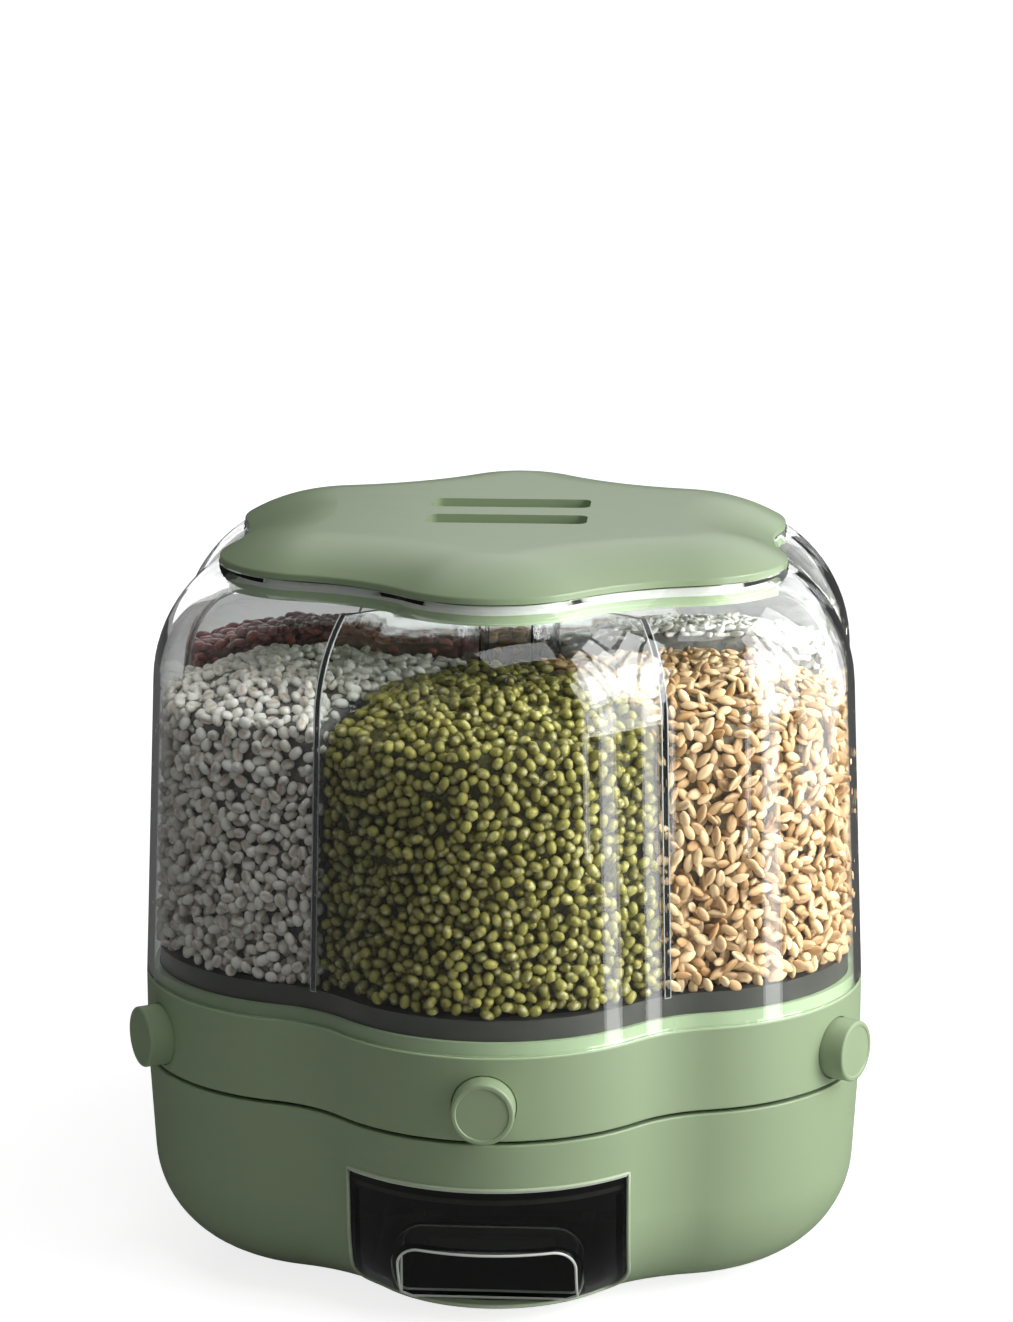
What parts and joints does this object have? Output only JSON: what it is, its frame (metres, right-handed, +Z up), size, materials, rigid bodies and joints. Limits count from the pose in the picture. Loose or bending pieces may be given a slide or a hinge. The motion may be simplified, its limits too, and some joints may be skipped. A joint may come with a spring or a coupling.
{
  "type": "rotating grain dispenser",
  "caption": "Lobed countertop grain dispenser: a clear compartment hopper turns on a base, push buttons open sliding gates, and grain drops into a front drawer under a lift-off lid.",
  "frame": {"origin": "on the turning axis, at the height of the surface it stands on", "axes": "+Z up, the drawer faces -Y, +X to the right of someone facing the drawer"},
  "size_m": [0.2922, 0.3244, 0.2937],
  "materials": {
    "sage_plastic": "satin moulded plastic",
    "lid_plastic": "glossy moulded plastic",
    "clear_plastic": "clear moulded plastic",
    "smoke_plastic": "clear drawer plastic",
    "dark_plastic": "dark grey moulded plastic",
    "white_nylon": "plain nylon",
    "soft_rubber": "matt rubber",
    "seal_silicone": "translucent silicone",
    "bright_steel": "plated steel"
  },
  "bodies": {
    "base": {"base_shell": "sage_plastic", "rubber_feet": "soft_rubber", "base_deck": "sage_plastic", "deck_screws": "bright_steel", "drawer_housing": "dark_plastic", "pivot_post": "bright_steel", "post_screws": "bright_steel", "pivot_washer": "bright_steel", "pivot_clip": "bright_steel", "lower_race": "white_nylon"},
    "rotor": {"button_ring": "sage_plastic", "hub_bush": "white_nylon", "upper_race": "white_nylon", "hopper_floor": "dark_plastic", "hopper_shell": "clear_plastic", "divider": "clear_plastic"},
    "cage": {"ball_cage": "white_nylon", "bearing_balls": "bright_steel"},
    "drawer": {"drawer_tray": "smoke_plastic"},
    "lid": {"lid_cover": "lid_plastic", "lid_seal": "seal_silicone"},
    "button_1": {"button_1": "sage_plastic", "gate_1": "dark_plastic", "spring_1": "bright_steel"},
    "button_2": {"button_2": "sage_plastic", "gate_2": "dark_plastic", "spring_2": "bright_steel"},
    "button_3": {"button_3": "sage_plastic", "gate_3": "dark_plastic", "spring_3": "bright_steel"},
    "button_4": {"button_4": "sage_plastic", "gate_4": "dark_plastic", "spring_4": "bright_steel"},
    "button_5": {"button_5": "sage_plastic", "gate_5": "dark_plastic", "spring_5": "bright_steel"},
    "button_6": {"button_6": "sage_plastic", "gate_6": "dark_plastic", "spring_6": "bright_steel"}
  },
  "joints": [
    {"name": "hopper_turn", "type": "hinge", "parent": "base", "child": "rotor", "pos_m": [0, 0, 0.09], "axis": [0, 0, 1], "continuous": true},
    {"name": "cage_turn", "type": "hinge", "parent": "base", "child": "cage", "pos_m": [0, 0, 0.0786], "axis": [0, 0, 1], "continuous": true},
    {"name": "drawer_slide", "type": "slide", "parent": "base", "child": "drawer", "axis": [0, -1, 0], "range_m": [0, 0.1]},
    {"name": "lid_lift", "type": "slide", "parent": "rotor", "child": "lid", "axis": [0, 0, 1], "range_m": [0, 0.08]},
    {"name": "button_1_press", "type": "slide", "parent": "rotor", "child": "button_1", "axis": [0, 1, 0], "range_m": [0, 0.008], "stiffness_N_per_m": 350, "springref_m": -0.006, "deforming": ["spring_1"]},
    {"name": "button_2_press", "type": "slide", "parent": "rotor", "child": "button_2", "axis": [-0.866, 0.5, 0], "range_m": [0, 0.008], "stiffness_N_per_m": 350, "springref_m": -0.006, "deforming": ["spring_2"]},
    {"name": "button_3_press", "type": "slide", "parent": "rotor", "child": "button_3", "axis": [-0.866, -0.5, 0], "range_m": [0, 0.008], "stiffness_N_per_m": 350, "springref_m": -0.006, "deforming": ["spring_3"]},
    {"name": "button_4_press", "type": "slide", "parent": "rotor", "child": "button_4", "axis": [0, -1, 0], "range_m": [0, 0.008], "stiffness_N_per_m": 350, "springref_m": -0.006, "deforming": ["spring_4"]},
    {"name": "button_5_press", "type": "slide", "parent": "rotor", "child": "button_5", "axis": [0.866, -0.5, 0], "range_m": [0, 0.008], "stiffness_N_per_m": 350, "springref_m": -0.006, "deforming": ["spring_5"]},
    {"name": "button_6_press", "type": "slide", "parent": "rotor", "child": "button_6", "axis": [0.866, 0.5, 0], "range_m": [0, 0.008], "stiffness_N_per_m": 350, "springref_m": -0.006, "deforming": ["spring_6"]}
  ],
  "couplings": [
    {"joint": "cage_turn", "follows": "hopper_turn", "ratio": 0.5}
  ]
}
